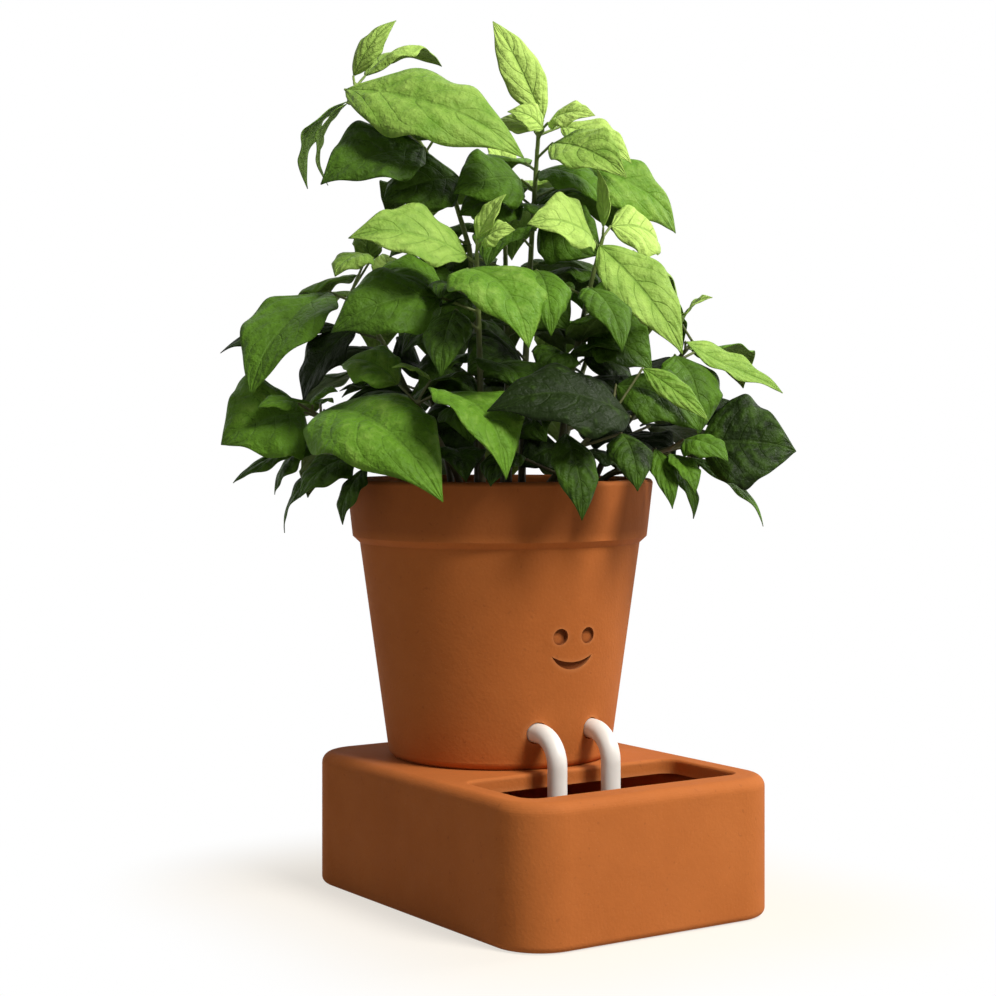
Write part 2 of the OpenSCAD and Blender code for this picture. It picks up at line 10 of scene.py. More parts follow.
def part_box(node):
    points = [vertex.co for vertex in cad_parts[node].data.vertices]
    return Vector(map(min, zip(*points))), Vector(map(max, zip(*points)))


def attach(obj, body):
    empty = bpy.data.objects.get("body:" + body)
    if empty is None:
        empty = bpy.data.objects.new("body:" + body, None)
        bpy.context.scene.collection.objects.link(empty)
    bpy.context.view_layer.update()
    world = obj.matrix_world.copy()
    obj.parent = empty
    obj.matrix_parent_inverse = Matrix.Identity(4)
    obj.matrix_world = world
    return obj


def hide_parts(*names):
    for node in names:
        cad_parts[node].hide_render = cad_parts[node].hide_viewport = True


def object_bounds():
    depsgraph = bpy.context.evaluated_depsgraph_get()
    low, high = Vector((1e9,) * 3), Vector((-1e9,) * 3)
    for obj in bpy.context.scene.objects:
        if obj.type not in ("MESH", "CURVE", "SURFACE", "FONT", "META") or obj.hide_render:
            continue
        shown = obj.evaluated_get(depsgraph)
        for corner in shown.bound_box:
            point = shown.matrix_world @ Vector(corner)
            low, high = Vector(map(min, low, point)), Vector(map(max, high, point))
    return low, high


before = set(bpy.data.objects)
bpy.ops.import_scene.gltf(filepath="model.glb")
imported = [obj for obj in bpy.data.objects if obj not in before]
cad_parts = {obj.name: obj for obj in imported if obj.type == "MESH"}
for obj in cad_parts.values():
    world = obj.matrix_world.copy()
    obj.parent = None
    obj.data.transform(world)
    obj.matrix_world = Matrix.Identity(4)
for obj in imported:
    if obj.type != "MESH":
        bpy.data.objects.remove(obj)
solid_low, solid_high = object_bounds()


# --- Helpers ----------------------------------------------------------------------------------------
# Colours, shader nodes and new pieces are made through these.

def clamped(value, low=0.0, high=1.0):
    return max(low, min(high, value))


def linear(red, green, blue):
    """A colour as it looks on a screen, 0 to 255, as the linear values that shaders take."""
    def one(value):
        value /= 255
        return value / 12.92 if value <= 0.04045 else ((value + 0.055) / 1.055) ** 2.4
    return (one(red), one(green), one(blue), 1)


def grey(value):
    return (value, value, value, 1)


def new_material(name):
    """A new material, its node tree and its Principled shader."""
    material = bpy.data.materials.new(name)
    material.use_nodes = True
    return material, material.node_tree, material.node_tree.nodes["Principled BSDF"]


def add_node(tree, kind, inputs=None, **settings):
    """Adds a node. Inputs are constants or the sockets that feed them."""
    node = tree.nodes.new(kind)
    for key, value in settings.items():
        setattr(node, key, value)
    for key, value in (inputs or {}).items():
        if isinstance(value, bpy.types.NodeSocket):
            tree.links.new(value, node.inputs[key])
        else:
            node.inputs[key].default_value = value
    return node


def math_node(tree, operation, first, second=0.0, clamp=False):
    node = add_node(tree, "ShaderNodeMath", {0: first, 1: second}, operation=operation, use_clamp=clamp)
    return node.outputs[0]


def vector_node(tree, operation, first, second=(0, 0, 0), result="Vector"):
    node = add_node(tree, "ShaderNodeVectorMath", {0: first, 1: second}, operation=operation)
    return node.outputs[result]


def with_waves(tree, value, *waves):
    """A value with each (share, wave) added to it."""
    for share, wave in waves:
        value = math_node(tree, "ADD", value, math_node(tree, "MULTIPLY", wave, share))
    return value


def map_range(tree, value, start=0.0, end=1.0, low=0.0, high=1.0, smooth=False):
    """Takes start to low and end to high, and stays level beyond them."""
    node = add_node(tree, "ShaderNodeMapRange",
                    {"Value": value, "From Min": start, "From Max": end, "To Min": low, "To Max": high},
                    interpolation_type="SMOOTHSTEP" if smooth else "LINEAR")
    return node.outputs["Result"]


def ramp(tree, value, stops):
    """A colour ramp with (place, colour) stops."""
    node = add_node(tree, "ShaderNodeValToRGB", {"Fac": value})
    elements = node.color_ramp.elements
    while len(elements) < len(stops):
        elements.new(0.5)
    for element, (place, colour) in zip(elements, stops):
        element.position = place
        element.color = colour
    return node.outputs["Color"]


def mix_colour(tree, share, first, second, blend="MIX"):
    node = add_node(tree, "ShaderNodeMix", {0: share, 6: first, 7: second},
                    data_type="RGBA", blend_type=blend)
    return node.outputs[2]


def object_place(tree):
    """Where the shaded point lies on its piece."""
    return add_node(tree, "ShaderNodeTexCoord").outputs["Object"]


def clouds(tree, place, scale, detail, roughness=0.5):
    """Soft noise between 0 and 1."""
    node = add_node(tree, "ShaderNodeTexNoise",
                    {"Vector": place, "Scale": scale, "Detail": detail, "Roughness": roughness})
    return node.outputs["Fac"]


def set_bump(tree, shader, height, strength, depth):
    """Shades a surface as if its height stood out by the depth."""
    bump = add_node(tree, "ShaderNodeBump", {"Height": height, "Strength": strength, "Distance": depth})
    tree.links.new(bump.outputs["Normal"], shader.inputs["Normal"])


def seen_directly(tree):
    """1 for what is seen, also in a mirror or through glass, and 0 for what only gives light."""
    path = add_node(tree, "ShaderNodeLightPath")
    share = path.outputs["Is Camera Ray"]
    for way in ("Is Glossy Ray", "Is Transmission Ray"):
        share = math_node(tree, "MAXIMUM", share, path.outputs[way])
    return share


def give(node, material):
    """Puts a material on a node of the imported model."""
    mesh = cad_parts[node].data
    mesh.materials.clear()
    mesh.materials.append(material)


def in_order(start):
    """The model's nodes whose names begin so, in the order of their numbers."""
    return sorted((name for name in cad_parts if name.startswith(start)),
                  key=lambda name: int(name.split("_")[-1]))


def rides(piece, body):
    """Links a new piece and says what body it rides on."""
    bpy.context.scene.collection.objects.link(piece)
    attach(piece, body)


# --- Studio -----------------------------------------------------------------------------------------
# A wide pale floor that fades into a white room. A large soft lamp stands high at the front, a smaller
# one lights the right-hand side, and a weak one fills the shaded side.

LAMP_WHITE = (1.0, 0.985, 0.955)
FILL_WHITE = (1.0, 0.98, 0.95)
ROOM_LIGHT = 0.12
FLOOR_R = 6
# The floor lies just under the object's foot, so that the two faces don't fall together
FLOOR_DROP = 0.0002
# Within SHADE_START of a core of this half size the floor shows SHADE_SHARE of its own shading. That
# fades to nothing at SHADE_END, where the floor is as white as the room.
SHADE_SHARE = 0.3
SHADE_CORE = (0.05, 0.07, 0)
SHADE_START = 0.015
SHADE_END = 0.13

scene = bpy.context.scene
scene.view_settings.view_transform = "Standard"

camera_data = bpy.data.cameras.new("camera")
camera_data.lens = 75.24
camera_data.sensor_width = 36
camera_data.shift_y = -0.0755
camera_data.clip_start = 0.05
camera = bpy.data.objects.new("camera", camera_data)
camera.location = (-0.53265, -0.76283, 0.21135)
camera.rotation_euler = (math.pi / 2, 0, math.radians(-33.88))
scene.collection.objects.link(camera)
scene.camera = camera


def soft_lamp(name, place, target, size, power, colour):
    data = bpy.data.lights.new(name, "AREA")
    data.shape = "DISK"
    data.size = size
    data.energy = power
    data.color = colour
    lamp = bpy.data.objects.new(name, data)
    lamp.location = place
    lamp.rotation_euler = (Vector(target) - Vector(place)).to_track_quat("-Z", "Y").to_euler()
    scene.collection.objects.link(lamp)


soft_lamp("key_lamp", place=(0.38, -1.4, 1.63), target=(0, 0, 0.18), size=0.78, power=49,
          colour=LAMP_WHITE)
soft_lamp("side_lamp", place=(1.7, -0.2, 1.1), target=(0, 0, 0.2), size=0.8, power=12, colour=LAMP_WHITE)
soft_lamp("fill_lamp", place=(-1.6, 0.2, 0.9), target=(0, 0, 0.2), size=1.2, power=1.0, colour=FILL_WHITE)

room = bpy.data.worlds.new("room")
room.use_nodes = True
scene.world = room
background = room.node_tree.nodes["Background"]
background.inputs["Color"].default_value = grey(1)
room_light = map_range(room.node_tree, seen_directly(room.node_tree), low=ROOM_LIGHT)
room.node_tree.links.new(room_light, background.inputs["Strength"])


def floor_material():
    material, tree, shader = new_material("pale_floor")
    shader.inputs["Roughness"].default_value = 0.9
    shader.inputs["Specular IOR Level"].default_value = 0.1
    beyond = vector_node(tree, "ABSOLUTE", object_place(tree))
    beyond = vector_node(tree, "SUBTRACT", beyond, SHADE_CORE)
    beyond = vector_node(tree, "MAXIMUM", beyond)
    away = vector_node(tree, "LENGTH", beyond, result="Value")
    far = map_range(tree, away, SHADE_START, SHADE_END, smooth=True)
    fade = math_node(tree, "ADD", math_node(tree, "MULTIPLY", far, SHADE_SHARE), 1 - SHADE_SHARE)
    seen = seen_directly(tree)
    paint = mix_colour(tree, seen, linear(170, 166, 158), linear(252, 245, 233))
    tree.links.new(paint, shader.inputs["Base Color"])
    # Painted light: near the object the floor's white is tinted warm
    glow = mix_colour(tree, far, (1.0, 0.955, 0.885, 1), grey(1))
    white = add_node(tree, "ShaderNodeEmission", {"Color": glow, "Strength": 1.0})
    share = math_node(tree, "MULTIPLY", fade, seen)
    both = add_node(tree, "ShaderNodeMixShader", {0: share, 1: shader.outputs[0], 2: white.outputs[0]})
    tree.links.new(both.outputs[0], tree.nodes["Material Output"].inputs["Surface"])
    return material


shape = bmesh.new()
bmesh.ops.create_circle(shape, cap_ends=True, segments=96, radius=FLOOR_R)
floor_mesh = bpy.data.meshes.new("floor")
shape.to_mesh(floor_mesh)
shape.free()
floor_mesh.materials.append(floor_material())
floor = bpy.data.objects.new("floor", floor_mesh)
floor.location = (0, 0, -FLOOR_DROP)
scene.collection.objects.link(floor)


# --- Reservoir and pot ------------------------------------------------------------------------------
# Both are unglazed terracotta: a slip-cast box with a deck and an open pool, and a thrown pot with a
# collar. The clay is matte, finely grained and a little uneven in colour. Painted shade darkens its
# recesses, a painted highlight makes its convex edges paler, and the collar is painted darker as shade from
# the leaves.

# How far the painted shade on the collar reaches down from the rim, and the height over which it fades
COLLAR_SHADE_DEPTH = 0.026
COLLAR_SHADE_FADE = 0.005


def clay_material():
    material, tree, shader = new_material("terracotta_clay")
    place = object_place(tree)

    def rough_clouds(scale, detail):
        return clouds(tree, place, scale, detail, 0.6)
    body = ramp(tree, rough_clouds(11, 5), [(0.25, linear(176, 98, 42)), (0.5, linear(187, 106, 48)),
                                            (0.78, linear(196, 114, 55))])
    smoke = ramp(tree, rough_clouds(34, 4), [(0.42, grey(1)), (0.7, (0.94, 0.93, 0.92, 1))])
    body = mix_colour(tree, 0.7, body, smoke, "MULTIPLY")
    sand = add_node(tree, "ShaderNodeTexVoronoi", {"Vector": place, "Scale": 620}).outputs["Distance"]
    pale_sand = ramp(tree, sand, [(0.05, grey(0.22)), (0.13, grey(0))])
    body = mix_colour(tree, pale_sand, body, linear(226, 164, 112))
    dark_sand = ramp(tree, rough_clouds(420, 1), [(0.7, grey(0)), (0.78, grey(0.2))])
    body = mix_colour(tree, dark_sand, body, linear(110, 55, 26))
    up = add_node(tree, "ShaderNodeSeparateXYZ", {"Vector": place}).outputs["Z"]
    uneven = with_waves(tree, up, (0.002, rough_clouds(30, 3)))
    # Painted shade: the collar, under the leaves, is darkened down to this height
    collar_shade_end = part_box("pot")[1][2] - COLLAR_SHADE_DEPTH
    collar_shade = map_range(tree, uneven, collar_shade_end, collar_shade_end + COLLAR_SHADE_FADE, high=0.8)
    body = mix_colour(tree, collar_shade, body, (0.66, 0.63, 0.6, 1), "MULTIPLY")
    # Painted shade: the recesses of each piece are darkened
    open_sky = add_node(tree, "ShaderNodeAmbientOcclusion", {"Distance": 0.006}, only_local=True)
    painted_recess_shade = ramp(tree, open_sky.outputs["AO"], [(0.6, grey(1)), (0.95, grey(0))])
    body = mix_colour(tree, painted_recess_shade, body, (0.42, 0.38, 0.36, 1), "MULTIPLY")
    # Painted highlight: the convex edges of each piece are made paler
    flesh = add_node(tree, "ShaderNodeAmbientOcclusion", {"Distance": 0.003}, inside=True, only_local=True)
    painted_edge_highlight = ramp(tree, flesh.outputs["AO"], [(0.5, grey(0.28)), (0.92, grey(0))])
    body = mix_colour(tree, painted_edge_highlight, body, linear(222, 148, 92))
    tree.links.new(body, shader.inputs["Base Color"])
    matte = map_range(tree, rough_clouds(60, 3), low=0.7, high=0.9)
    tree.links.new(matte, shader.inputs["Roughness"])
    shader.inputs["Specular IOR Level"].default_value = 0.22
    grain = math_node(tree, "MULTIPLY", rough_clouds(900, 3), 0.35)
    height = with_waves(tree, grain, (0.3, sand), (1.2, rough_clouds(45, 3)))
    set_bump(tree, shader, height, 0.35, 0.0006)
    return material


clay = clay_material()
give("reservoir", clay)
give("pot", clay)


# --- Legs -------------------------------------------------------------------------------------------
# Each leg is a smooth white silicone sleeve, moulded with its knee bend, and pushed through a hole in
# the pot until its stop ring meets the wall. A braided cotton wick runs through it.

def silicone_material():
    material, tree, shader = new_material("white_silicone")
    film = clouds(tree, object_place(tree), 120, 3)
    tone = ramp(tree, film, [(0.3, linear(246, 242, 235)), (0.7, linear(238, 233, 224))])
    tree.links.new(tone, shader.inputs["Base Color"])
    tree.links.new(map_range(tree, film, low=0.33, high=0.5), shader.inputs["Roughness"])
    set_bump(tree, shader, film, 0.1, 0.0003)
    return material


def cotton_material():
    material, tree, shader = new_material("braided_cotton")
    place = object_place(tree)
    strands = []
    for turn in (0.7, -0.7):
        turned = add_node(tree, "ShaderNodeMapping", {"Vector": place, "Rotation": (turn, turn, 0)})
        strand = add_node(tree, "ShaderNodeTexWave",
                          {"Vector": turned.outputs["Vector"], "Scale": 260, "Distortion": 1.5},
                          bands_direction="Z")
        strands.append(strand.outputs["Fac"])
    braid = math_node(tree, "MAXIMUM", *strands)
    tone = ramp(tree, braid, [(0.3, linear(176, 164, 142)), (0.9, linear(236, 229, 214))])
    tree.links.new(tone, shader.inputs["Base Color"])
    shader.inputs["Roughness"].default_value = 0.95
    set_bump(tree, shader, braid, 0.7, 0.0006)
    return material


silicone = silicone_material()
give("leg_sleeve_left", silicone)
give("leg_sleeve_right", silicone)
cotton = cotton_material()
give("wick_left", cotton)
give("wick_right", cotton)


# --- Drain screen -----------------------------------------------------------------------------------
# A round of dark plastic mesh over the pot's drain hole, laid in before the soil.

def screen_material():
    material, tree, shader = new_material("dark_screen_plastic")
    scuffs = clouds(tree, object_place(tree), 300, 4)
    tone = ramp(tree, scuffs, [(0.4, linear(52, 54, 56)), (0.75, linear(84, 86, 86))])
    tree.links.new(tone, shader.inputs["Base Color"])
    shader.inputs["Roughness"].default_value = 0.6
    set_bump(tree, shader, scuffs, 0.3, 0.0003)
    return material


give("drain_screen", screen_material())


# --- Soil -------------------------------------------------------------------------------------------
# The root ball is packed potting mix: dark crumbs of peat and bark with a few pale grains, and fine
# roots on its sides. Loose crumbs lie on its top.

# The crumbly skin on the root ball: the grid of its mesh, its mean height, how far it slopes at its
# edge, and how far it stays inside the root ball's own edge
SKIN_RINGS = 46
SKIN_SEGMENTS = 160
SKIN_HEIGHT = 0.0016
SKIN_EDGE = 0.004
SKIN_INSET = 0.0006
# How far loose crumbs stay from the skin's edge, and how high their middles lie over the root ball
CRUMB_MARGIN = 0.003
CRUMB_LIFT = 0.0019


def soil_material():
    material, tree, shader = new_material("potting_mix")
    place = object_place(tree)
    lumps = add_node(tree, "ShaderNodeTexVoronoi", {"Vector": place, "Scale": 260}, feature="F1")
    fines = clouds(tree, place, 700, 5)
    body = ramp(tree, fines, [(0.3, linear(32, 22, 15)), (0.55, linear(62, 44, 31)),
                              (0.8, linear(98, 74, 54))])
    chance_of_bark = add_node(tree, "ShaderNodeSeparateColor", {"Color": lumps.outputs["Color"]}).outputs[0]
    bark = ramp(tree, chance_of_bark, [(0.8, grey(0)), (0.86, grey(0.6))])
    body = mix_colour(tree, bark, body, linear(120, 84, 54))
    threads = add_node(tree, "ShaderNodeTexWave",
                       {"Vector": place, "Scale": 34, "Distortion": 22, "Detail": 4, "Detail Scale": 1.6},
                       bands_direction="DIAGONAL").outputs["Fac"]
    roots = ramp(tree, threads, [(0.955, grey(0)), (0.985, grey(0.75))])
    body = mix_colour(tree, roots, body, linear(206, 190, 160))
    tree.links.new(body, shader.inputs["Base Color"])
    shader.inputs["Roughness"].default_value = 0.97
    shader.inputs["Specular IOR Level"].default_value = 0.2
    height = with_waves(tree, lumps.outputs["Distance"], (0.5, fines), (0.4, threads))
    set_bump(tree, shader, height, 0.9, 0.002)
    return material


def perlite_material():
    material, tree, shader = new_material("pale_perlite")
    pores = clouds(tree, object_place(tree), 900, 3)
    tone = ramp(tree, pores, [(0.35, linear(188, 182, 170)), (0.7, linear(232, 228, 220))])
    tree.links.new(tone, shader.inputs["Base Color"])
    shader.inputs["Roughness"].default_value = 0.9
    return material


potting_mix = soil_material()
give("potting_soil", potting_mix)
soil_low, soil_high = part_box("potting_soil")
soil_r = (soil_high[0] - soil_low[0]) / 2 - SKIN_INSET
soil_middle = Vector(((soil_low[0] + soil_high[0]) / 2, (soil_low[1] + soil_high[1]) / 2, soil_high[2]))


def soil_skin(name):
    """A disc of rings on the root ball's top, lumpy and sloping down at its edge."""
    shape = bmesh.new()
    bmesh.ops.create_circle(shape, cap_ends=False, segments=SKIN_SEGMENTS, radius=soil_r)
    ring = list(shape.edges)
    for step in range(SKIN_RINGS):
        ring = bmesh.ops.extrude_edge_only(shape, edges=ring)["geom"]
        ring_verts = [item for item in ring if isinstance(item, bmesh.types.BMVert)]
        ring = [item for item in ring if isinstance(item, bmesh.types.BMEdge)]
        rings_left = SKIN_RINGS + 0.2 - step
        smaller = (rings_left - 1) / rings_left
        bmesh.ops.scale(shape, vec=(smaller, smaller, 1), verts=ring_verts)
    bmesh.ops.contextual_create(shape, geom=ring)
    for vert in shape.verts:
        edge_share = min(1, (soil_r - vert.co.xy.length) / SKIN_EDGE)
        lump = noise.noise(vert.co * 260) * 0.0007 + noise.noise(vert.co * 90 + Vector((3, 1, 7))) * 0.0011
        vert.co.z = 0.00005 + edge_share * (SKIN_HEIGHT + lump)
        vert.co += soil_middle
    bmesh.ops.recalc_face_normals(shape, faces=shape.faces)
    mesh = bpy.data.meshes.new(name)
    shape.to_mesh(mesh)
    shape.free()
    mesh.shade_smooth()
    mesh.materials.append(potting_mix)
    rides(bpy.data.objects.new(name, mesh), "plant")


def scattered_crumbs(name, count, smallest, largest, seed, material):
    """Small uneven crumbs, lying on the soil."""
    chance = random.Random(seed)
    shape = bmesh.new()
    for _ in range(count):
        radius = chance.uniform(smallest, largest)
        made = bmesh.ops.create_icosphere(shape, subdivisions=1, radius=radius)["verts"]
        bmesh.ops.scale(shape, vec=(1, chance.uniform(0.6, 1), chance.uniform(0.5, 0.85)), verts=made)
        for vert in made:
            vert.co *= chance.uniform(0.8, 1.15)
        turn = chance.uniform(0, 2 * math.pi)
        far = (soil_r - CRUMB_MARGIN) * math.sqrt(chance.random())
        middle = soil_middle + Vector((far * math.cos(turn), far * math.sin(turn), CRUMB_LIFT))
        bmesh.ops.translate(shape, vec=middle, verts=made)
    mesh = bpy.data.meshes.new(name)
    shape.to_mesh(mesh)
    shape.free()
    mesh.materials.append(material)
    rides(bpy.data.objects.new(name, mesh), "plant")


soil_skin("soil_top")
scattered_crumbs("soil_crumbs", count=900, smallest=0.0007, largest=0.0021, seed=4,
                 material=potting_mix)
scattered_crumbs("perlite_grains", count=46, smallest=0.0007, largest=0.0014, seed=9,
                 material=perlite_material())


# --- Basil stems ------------------------------------------------------------------------------------
# Each stem is one soft green shoot with a stalk to every leaf. It is round, a little thicker at its
# joints, and brownish near the soil.

# The grain of a stem's mesh, and how often it is smoothed
STEM_VOXEL = 0.00048
STEM_SMOOTHINGS = 3


def stem_material():
    material, tree, shader = new_material("basil_stem_skin")
    place = object_place(tree)
    up = add_node(tree, "ShaderNodeSeparateXYZ", {"Vector": place}).outputs["Z"]
    young = map_range(tree, up, soil_high[2], solid_high[2])
    blotch = clouds(tree, place, 150, 4)
    youth = with_waves(tree, young, (0.5, math_node(tree, "SUBTRACT", blotch, 0.5)))
    tone = ramp(tree, youth, [(0.0, linear(74, 62, 36)), (0.3, linear(84, 92, 42)),
                              (0.75, linear(126, 150, 66))])
    tree.links.new(tone, shader.inputs["Base Color"])
    shader.inputs["Roughness"].default_value = 0.62
    set_bump(tree, shader, blotch, 0.3, 0.0005)
    return material


def merged_copy(node):
    """The node's triangles as one connected mesh."""
    shape = bmesh.new()
    shape.from_mesh(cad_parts[node].data)
    bmesh.ops.remove_doubles(shape, verts=shape.verts, dist=2e-6)
    return shape


def softened_shoot(node):
    """A solid stem as a fine even mesh with its joints rounded off."""
    shape = merged_copy(node)
    rough = bpy.data.meshes.new(node + "_rough")
    shape.to_mesh(rough)
    shape.free()
    form = bpy.data.objects.new(node + "_form", rough)
    scene.collection.objects.link(form)
    voxels = form.modifiers.new("voxels", "REMESH")
    voxels.mode = "VOXEL"
    voxels.voxel_size = STEM_VOXEL
    remade = bpy.data.meshes.new_from_object(form.evaluated_get(bpy.context.evaluated_depsgraph_get()))
    bpy.data.objects.remove(form)
    shape = bmesh.new()
    shape.from_mesh(remade)
    for _ in range(STEM_SMOOTHINGS):
        bmesh.ops.smooth_vert(shape, verts=shape.verts, factor=0.5, use_axis_x=True, use_axis_y=True,
                              use_axis_z=True)
    mesh = bpy.data.meshes.new(node + "_shoot")
    shape.to_mesh(mesh)
    shape.free()
    mesh.shade_smooth()
    return mesh


stem_skin = stem_material()
stem_nodes = in_order("basil_stem_")
for node in stem_nodes:
    shoot_mesh = softened_shoot(node)
    shoot_mesh.materials.clear()
    shoot_mesh.materials.append(stem_skin)
    shoot = bpy.data.objects.new(node + "_shoot", shoot_mesh)
    rides(shoot, "plant")
    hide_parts(node)


# --- Basil leaves -----------------------------------------------------------------------------------
# Each leaf is an ovate blade with a pointed tip. Its midrib lies in a groove, side veins run from it to
# the margin, and the flesh swells up between them. The upper side is glossier than the pale underside.

# Side veins to each half, how far each leans towards the tip, and how much more it leans at the margin
VEIN_PAIRS = 5
VEIN_LEAN = 0.14
VEIN_ARCH = 0.26
# The power that moves a blade's widest place towards its base
OUTLINE_POWER = 0.78
# Where the ring of a solid leaf lies along it, from which its arch and width are read
READ_SHARE = 0.38
BLADE_COLUMNS = 18
BLADE_ROWS = 36
BLADE_THICKNESS = 0.00035
# How far a blade's base reaches back into its stalk
BLADE_ROOT = 0.0006
# Leaves this close below a stem's top are young
YOUNG_REACH = 0.032
# Leaves under this height over the soil are low; large low ones on the right get painted shade
LOW_HEIGHT = 0.075
# The bush's right-hand side, seen from the front, towards which leaves are painted brighter as the lit side
RIGHTWARD = Vector((0.83, -0.56, 0))
RIGHT_REACH = 0.05


def blade_relief(tree, across, along, stray):
    """Two masks over a blade: its midrib and side veins, and the flesh midway between them."""
    edgeward = math_node(tree, "ABSOLUTE", across)
    lean = math_node(tree, "ADD", math_node(tree, "MULTIPLY", edgeward, VEIN_ARCH), VEIN_LEAN)
    sweep = math_node(tree, "MULTIPLY", edgeward, lean)
    phase = math_node(tree, "MULTIPLY", math_node(tree, "SUBTRACT", along, sweep), VEIN_PAIRS)
    phase = with_waves(tree, phase, (0.9, stray))
    near = math_node(tree, "ABSOLUTE", math_node(tree, "SUBTRACT", math_node(tree, "FRACT", phase), 0.5))
    side = map_range(tree, near, 0.43, 0.5, smooth=True)
    side = math_node(tree, "MULTIPLY", side, math_node(tree, "SUBTRACT", 1.0, edgeward, clamp=True))
    rib = map_range(tree, edgeward, 0.07, 0.015, smooth=True)
    pillow = math_node(tree, "SUBTRACT", 1.0, math_node(tree, "MULTIPLY", near, 2.0))
    inward = math_node(tree, "MULTIPLY", edgeward, 5.0, clamp=True)
    return math_node(tree, "MAXIMUM", side, rib), math_node(tree, "MULTIPLY", pillow, inward)


def leaf_material(name, dark, middle, bright, vein, vein_share, roughness):
    """Leaf skin whose tone runs from dark to bright with the leaf's tone, partly painted light and shade,
    and its clouds.
    """
    material, tree, shader = new_material(name)
    blade_map = add_node(tree, "ShaderNodeUVMap", uv_map="blade").outputs["UV"]
    flat = add_node(tree, "ShaderNodeSeparateXYZ", {"Vector": blade_map})
    across = math_node(tree, "SUBTRACT", math_node(tree, "MULTIPLY", flat.outputs["X"], 2.0), 1.0)
    place = object_place(tree)

    def even_clouds(scale, detail):
        """Noise between about -0.5 and 0.5."""
        return math_node(tree, "SUBTRACT", clouds(tree, place, scale, detail), 0.5)
    veins, pillow = blade_relief(tree, across, flat.outputs["Y"], even_clouds(45, 2))
    crinkle = even_clouds(240, 3)
    tone_with_painted_light = add_node(tree, "ShaderNodeAttribute", attribute_name="leaf_tone_and_light").outputs["Fac"]
    # The pillow share is painted shade: the leaf is darker in the creases along its veins
    tone = with_waves(tree, tone_with_painted_light, (0.35, even_clouds(60, 3)), (0.22, crinkle), (0.05, pillow))
    body = ramp(tree, tone, [(0.0, dark), (0.5, middle), (1.0, bright)])
    fresh = math_node(tree, "ADD", tone, 0.15, clamp=True)
    pale_veins = math_node(tree, "MULTIPLY", veins, math_node(tree, "MULTIPLY", fresh, vein_share))
    tree.links.new(mix_colour(tree, pale_veins, body, vein), shader.inputs["Base Color"])
    shine = map_range(tree, crinkle, -0.4, 0.4, roughness - 0.1, roughness + 0.1)
    tree.links.new(shine, shader.inputs["Roughness"])
    shader.inputs["Specular IOR Level"].default_value = 0.1
    grooves = math_node(tree, "MULTIPLY", veins, -0.5)
    height = with_waves(tree, grooves, (2.2, crinkle), (0.5, even_clouds(800, 2)), (0.4, pillow))
    set_bump(tree, shader, height, 0.7, 0.0012)
    return material


leaf_upper = leaf_material("basil_leaf_upper", dark=linear(26, 40, 9), middle=linear(98, 141, 40),
                           bright=linear(190, 222, 112), vein=linear(112, 152, 58), vein_share=0.5,
                           roughness=0.5)
leaf_under = leaf_material("basil_leaf_under", dark=linear(46, 64, 28), middle=linear(112, 146, 62),
                           bright=linear(172, 202, 108), vein=linear(150, 176, 104), vein_share=0.5,
                           roughness=0.66)


def leaf_islands(shape):
    """The connected leaves of a node's mesh."""
    left = set(shape.verts)
    while left:
        island, edge = set(), [left.pop()]
        while edge:
            vert = edge.pop()
            island.add(vert)
            for link in vert.link_edges:
                other = link.other_vert(vert)
                if other in left:
                    left.remove(other)
                    edge.append(other)
        yield island


def ring_round(vert):
    return [link.other_vert(vert) for link in vert.link_edges]


def ring_width(ring):
    return max((a.co - b.co).length for a in ring for b in ring)


def outline(share):
    """A blade's width at a share of its length, against its full width."""
    return math.sin(math.pi * share ** OUTLINE_POWER) if 0 < share < 1 else 0


def read_blade(island):
    """Base, tip, upward direction, arch and full width of a solid leaf, from its rings of four."""
    ends = sorted((vert for vert in island if len(vert.link_edges) == 4),
                  key=lambda vert: ring_width(ring_round(vert)), reverse=True)
    base, tip = ends[0], ends[-1]
    seen, ring = {base}, ring_round(base)
    for _ in range(2):
        seen.update(ring)
        ring = list({other for vert in ring for other in ring_round(vert)} - seen)
    pairs = ((a, b) for a in ring for b in ring)
    edge_a, edge_b = max(pairs, key=lambda pair: (pair[0].co - pair[1].co).length)
    flat = [vert for vert in ring if vert not in (edge_a, edge_b)]
    middle = (flat[0].co + flat[1].co) / 2
    up = ((edge_a.co + edge_b.co) / 2 - middle).normalized()
    run = tip.co - base.co
    arch = (middle - (base.co + run * READ_SHARE)).dot(up) / (4 * READ_SHARE * (1 - READ_SHARE))
    width = (edge_a.co - edge_b.co).length / outline(READ_SHARE)
    return base.co.copy(), tip.co.copy(), up, arch, width


def leaf_tone_and_light(base, width, stem_top):
    """How bright a leaf is. It is paler at a young tip. Painted light makes it brighter higher up and
    towards the lit right, and painted shade makes the large low leaves on the right the darkest."""
    height = base.z - soil_middle.z
    youth = clamped(1 - (stem_top - base.z) / YOUNG_REACH)
    rightward = (base - soil_middle).dot(RIGHTWARD) / RIGHT_REACH
    low = clamped((LOW_HEIGHT - height) / 0.02)
    large = clamped((width - 0.022) / 0.01)
    # The height term and the rightward term are painted light; the last term is painted shade
    tone = 0.02 + 1.3 * height + youth * (0.17 + 0.5 * min(1, height / 0.1))
    tone += 0.12 * (1 - low) * clamped(rightward, -1)
    return tone - 0.3 * low * large * clamped(rightward)


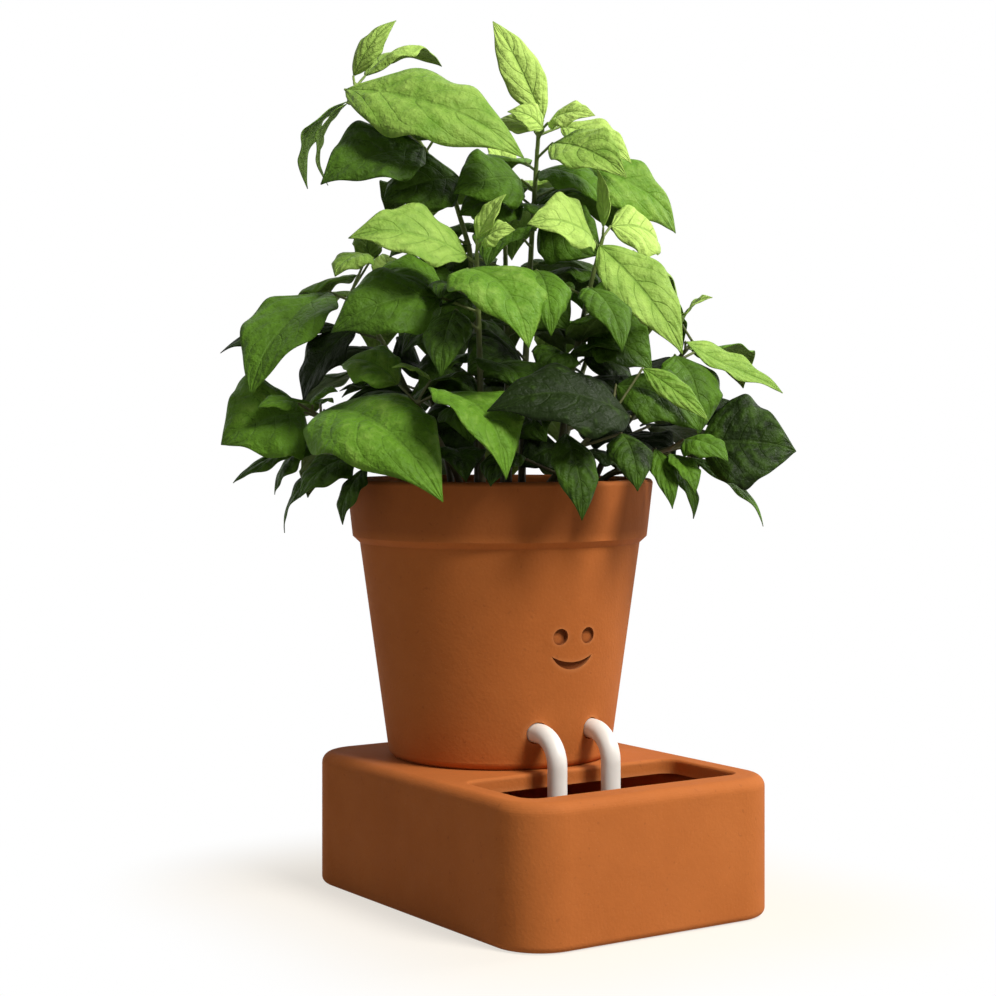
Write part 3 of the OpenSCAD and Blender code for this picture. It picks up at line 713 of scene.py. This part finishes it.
def add_blade(shape, blade, stem_top, seed, uv_layer, tone_layer):
    """One leaf, as a grid laid over the solid leaf's midrib."""
    base, tip, up, arch, width = blade
    chance = random.Random(seed)
    length = (tip - base).length
    along = (tip - base) / length
    side = along.cross(up).normalized()
    base = base - along * BLADE_ROOT
    run = tip - base
    swell = 0.06 * width * chance.uniform(0.8, 1.2)
    wave = chance.uniform(0.01, 0.03)
    curl = chance.uniform(-0.05, 0.36)
    phase = chance.uniform(0, 6.28)
    twist = chance.uniform(-0.16, 0.16)
    drift = Vector((chance.uniform(0, 99), chance.uniform(0, 99), chance.uniform(0, 99)))
    tone = leaf_tone_and_light(base, width, stem_top) + chance.uniform(-0.07, 0.07)
    made = bmesh.ops.create_grid(shape, x_segments=BLADE_COLUMNS, y_segments=BLADE_ROWS, size=0.5)["verts"]
    faces = {face for vert in made for face in vert.link_faces}
    for face in faces:
        for loop in face.loops:
            loop[uv_layer].uv = (loop.vert.co.x + 0.5, loop.vert.co.y + 0.5)
        face.smooth = True
    for vert in made:
        across, share = 2 * vert.co.x, vert.co.y + 0.5
        edgeward = abs(across)
        breadth = outline(share)
        margin = 1 + wave * math.sin(9 * math.pi * share + phase)
        half = max(0.0005 * (1 - 0.7 * share), width / 2 * breadth * margin)
        gull = 0.2 * half * (1.7 * edgeward - 1.15 * across * across) - curl * half * edgeward ** 3
        veins = math.pi * VEIN_PAIRS * (share - (VEIN_LEAN + VEIN_ARCH * edgeward) * edgeward)
        full = breadth * edgeward * (1 - edgeward ** 3)
        lumps = noise.noise(Vector((across * 3.5, share * 8, 5)) + drift)
        puff = swell * full * (0.35 * abs(math.sin(veins)) + 0.5 * lumps)
        ruffle = math.sin(5.5 * math.pi * share + phase + (2 if across > 0 else 0))
        flutter = 0.05 * width * breadth * edgeward ** 3 * ruffle
        droop = -0.06 * length * (max(0, share - 0.72) / 0.28) ** 2
        lean = twist * (share - 0.3) * across * half
        ripple = noise.noise(Vector((across * 1.7, share * 3.5, 0)) + drift) * 0.02 * width * breadth
        lift = arch * 4 * share * (1 - share) + gull + puff + flutter + lean + ripple + droop
        vert.co = base + run * share + up * lift + side * across * half
        vert[tone_layer] = tone


def grown_leaves(name, blades, stem_top, seed):
    """A group of leaves as one thin piece, with their upper and under sides."""
    shape = bmesh.new()
    uv_layer = shape.loops.layers.uv.new("blade")
    tone_layer = shape.verts.layers.float.new("leaf_tone_and_light")
    for number, blade in enumerate(blades, seed + 1):
        add_blade(shape, blade, stem_top, number, uv_layer, tone_layer)
    mesh = bpy.data.meshes.new(name)
    shape.to_mesh(mesh)
    shape.free()
    mesh.materials.append(leaf_upper)
    mesh.materials.append(leaf_under)
    foliage = bpy.data.objects.new(name, mesh)
    flesh = foliage.modifiers.new("flesh", "SOLIDIFY")
    flesh.thickness = BLADE_THICKNESS
    flesh.offset = 0
    flesh.material_offset = 1
    rides(foliage, "plant")
    return foliage


leaf_count = 0
for node in in_order("basil_leaves_"):
    solid = merged_copy(node)
    blades = [read_blade(island) for island in leaf_islands(solid)]
    blades.sort(key=lambda blade: tuple(blade[0]))
    solid.free()
    stem_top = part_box(node.replace("leaves", "stem"))[1][2]
    foliage = grown_leaves(node + "_blades", blades, stem_top, leaf_count)
    leaf_count += len(blades)
    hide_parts(node)


# --- Inner leaves -----------------------------------------------------------------------------------
# Small old leaves sit close to the stems, deep inside the bush. They show only between the large ones,
# as the dark inside of the plant.

INNER_PER_STEM = 4
# Where they grow: their heights over the soil, and how far out from its middle
INNER_LOWEST = 0.042
INNER_HIGHEST = 0.15
INNER_REACH = 0.042


def inner_blade(places, chance):
    """A small leaf that grows outwards from one of the places on a stem."""
    base = chance.choice(places)
    outward = (base - soil_middle).xy
    bearing = math.atan2(outward.y, outward.x) + chance.uniform(-1.3, 1.3)
    slope = chance.uniform(-0.6, 0.3)
    length = chance.uniform(0.028, 0.042)
    level = math.cos(slope)
    run = Vector((math.cos(bearing) * level, math.sin(bearing) * level, math.sin(slope)))
    up = run.cross(Vector((0, 0, 1))).cross(run).normalized()
    arch = chance.uniform(0.003, 0.006)
    return base, base + run * length, up, arch, 0.62 * length


chance = random.Random(21)
inner_blades = []
for node in stem_nodes:
    places = [vert.co.copy() for vert in bpy.data.objects[node + "_shoot"].data.vertices
              if INNER_LOWEST < vert.co.z - soil_middle.z < INNER_HIGHEST
              and (vert.co - soil_middle).xy.length < INNER_REACH]
    inner_blades += [inner_blade(places, chance) for _ in range(min(INNER_PER_STEM, len(places)))]
grown_leaves("inner_leaves", inner_blades, solid_high[2], leaf_count)
